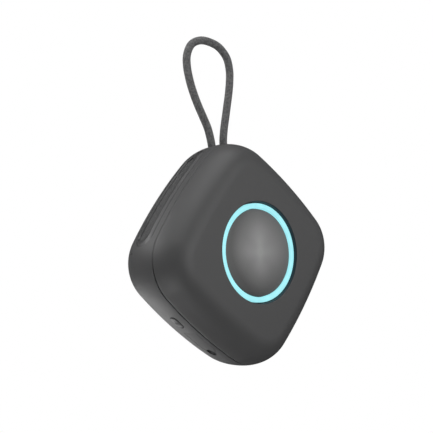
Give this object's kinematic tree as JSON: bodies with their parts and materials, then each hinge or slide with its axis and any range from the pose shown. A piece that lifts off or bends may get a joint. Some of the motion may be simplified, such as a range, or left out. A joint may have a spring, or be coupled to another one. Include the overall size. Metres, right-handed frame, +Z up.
{
  "type": "shower speaker",
  "caption": "Small hanging wireless speaker: rounded square body on one corner, round control disc with lit ring in front, slim side outlets and a braided hang loop.",
  "frame": {"origin": "inside top of the cord loop, where the speaker hangs from a hook", "axes": "+Z up, the front face with the control disc faces -Y, the body stands on one corner with its diagonals along X and Z"},
  "size_m": [0.11, 0.0455, 0.1647],
  "materials": {
    "soft_shell": "fine matte soft-touch paint",
    "dark_plastic": "matte moulded",
    "light_guide": "translucent, lit cyan",
    "disc_cap": "satin, radially brushed look",
    "rubber": "matte silicone",
    "woven_mesh": "fine black woven mesh",
    "braid": "tight round braid",
    "steel": "zinc plated",
    "circuit_board": "green solder mask",
    "chip_black": "matte epoxy",
    "led_white": "white diffuser",
    "ferrite": "ground ferrite",
    "copper_wire": "enamelled copper",
    "paper_cone": "pressed fibre",
    "spider_cloth": "resin-coated cloth",
    "battery_wrap": "foil pouch",
    "foam": "closed-cell foam",
    "nylon_white": "nylon",
    "wire_jacket": "PVC",
    "flex_film": "polyimide film"
  },
  "bodies": {
    "casing": {"front_shell": "soft_shell", "rear_shell": "soft_shell", "main_gasket": "rubber", "rear_pad": "rubber", "case_screws": "steel", "ring_seat": "dark_plastic", "light_ring": "light_guide", "keypad": "rubber", "control_board": "circuit_board", "ring_leds": "led_white", "disc_switches": "steel", "outlet_trim_left": "soft_shell", "outlet_trim_right": "soft_shell", "outlet_mesh_left": "woven_mesh", "outlet_mesh_right": "woven_mesh", "button_seal": "rubber", "power_switch": "steel", "side_board": "circuit_board", "charge_socket": "steel", "baffle": "dark_plastic", "driver_gasket": "foam", "driver_basket": "steel", "top_plate": "steel", "magnet": "ferrite", "yoke": "steel", "spider": "spider_cloth", "surround": "rubber", "driver_screws": "steel", "battery": "battery_wrap", "battery_pad": "foam", "main_board": "circuit_board", "board_chips": "chip_black", "board_screws": "steel", "battery_plug": "nylon_white", "battery_leads": "wire_jacket", "speaker_leads": "wire_jacket", "control_ribbon": "flex_film", "microphone": "steel", "cord_bushes": "rubber", "cord_bar": "steel", "cord_knots": "braid", "hang_cord": "braid"},
    "disc": {"control_disc": "disc_cap"},
    "power_key": {"power_button": "soft_shell"},
    "cover": {"port_cover": "rubber"},
    "diaphragm": {"cone": "paper_cone", "voice_coil": "copper_wire", "dust_cap": "paper_cone"}
  },
  "joints": [
    {"name": "disc_press", "type": "slide", "parent": "casing", "child": "disc", "axis": [0, 1, 0], "range_m": [0, 0.0005], "stiffness_N_per_m": 3000},
    {"name": "power_press", "type": "slide", "parent": "casing", "child": "power_key", "axis": [0.7071, 0, 0.7071], "range_m": [0, 0.0004], "stiffness_N_per_m": 2500},
    {"name": "cover_hinge", "type": "hinge", "parent": "casing", "child": "cover", "pos_m": [-0.03213, 0, -0.13906], "axis": [0, 1, 0], "range_deg": [0, 100]},
    {"name": "cone_travel", "type": "slide", "parent": "casing", "child": "diaphragm", "axis": [0, 1, 0], "range_m": [-0.0012, 0.0012], "stiffness_N_per_m": 1500, "deforming": ["spider", "surround"]}
  ]
}
